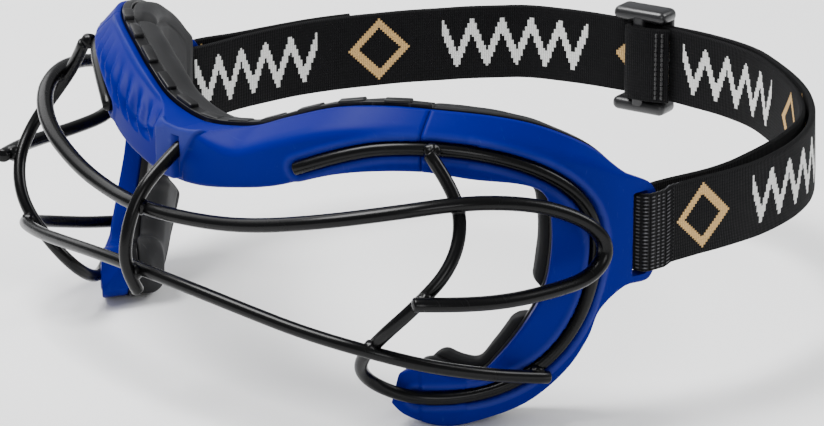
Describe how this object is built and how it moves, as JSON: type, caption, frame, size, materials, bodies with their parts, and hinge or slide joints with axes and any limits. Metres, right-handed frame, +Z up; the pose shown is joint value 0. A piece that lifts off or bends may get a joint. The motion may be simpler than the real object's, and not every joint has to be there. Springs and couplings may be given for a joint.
{
  "type": "sports protective goggles",
  "caption": "Wire-cage protective sports goggles with a moulded wraparound frame, face pads and an adjustable elastic head strap.",
  "frame": {"origin": "middle of the brow pad's rear face, where the goggles meet the forehead, on the mid-plane", "axes": "+X towards the wearer's left, -Y ahead of the wearer, +Z up, in the pose in which the goggles are worn"},
  "size_m": [0.1774, 0.1926, 0.0768],
  "materials": {
    "blue_moulding": "satin royal blue moulded elastomer",
    "black_liner": "satin black",
    "face_pad": "matt charcoal",
    "cage_black": "gloss black coating",
    "strap_webbing": "woven elastic",
    "strap_thread": "thread",
    "slider_black": "moulded"
  },
  "bodies": {
    "goggles": {"brow_shell": "blue_moulding", "temple_frame_left": "blue_moulding", "temple_frame_right": "blue_moulding", "liner_brow": "black_liner", "liner_left": "black_liner", "liner_right": "black_liner", "liner_teeth": "black_liner", "brow_pad": "face_pad", "temple_pad_left": "face_pad", "temple_pad_right": "face_pad", "cheek_pad_left": "face_pad", "cheek_pad_right": "face_pad", "orbital_wire_left": "cage_black", "orbital_wire_right": "cage_black", "upper_wire": "cage_black", "lower_wire": "cage_black", "nose_bar": "cage_black", "weld_beads_left": "cage_black", "weld_beads_right": "cage_black", "weld_beads_centre": "cage_black", "strap_main": "strap_webbing", "strap_return": "strap_webbing", "strap_turn_left": "strap_webbing", "strap_end_right": "strap_webbing", "strap_stitches": "strap_thread"},
    "strap_slider": {"slider": "slider_black", "strap_end_loop": "strap_webbing", "slider_stitches": "strap_thread"}
  },
  "joints": [
    {"name": "slider_slide", "type": "slide", "parent": "goggles", "child": "strap_slider", "axis": [0.9722, 0.2344, 0], "range_m": [-0.008, 0.008]}
  ]
}
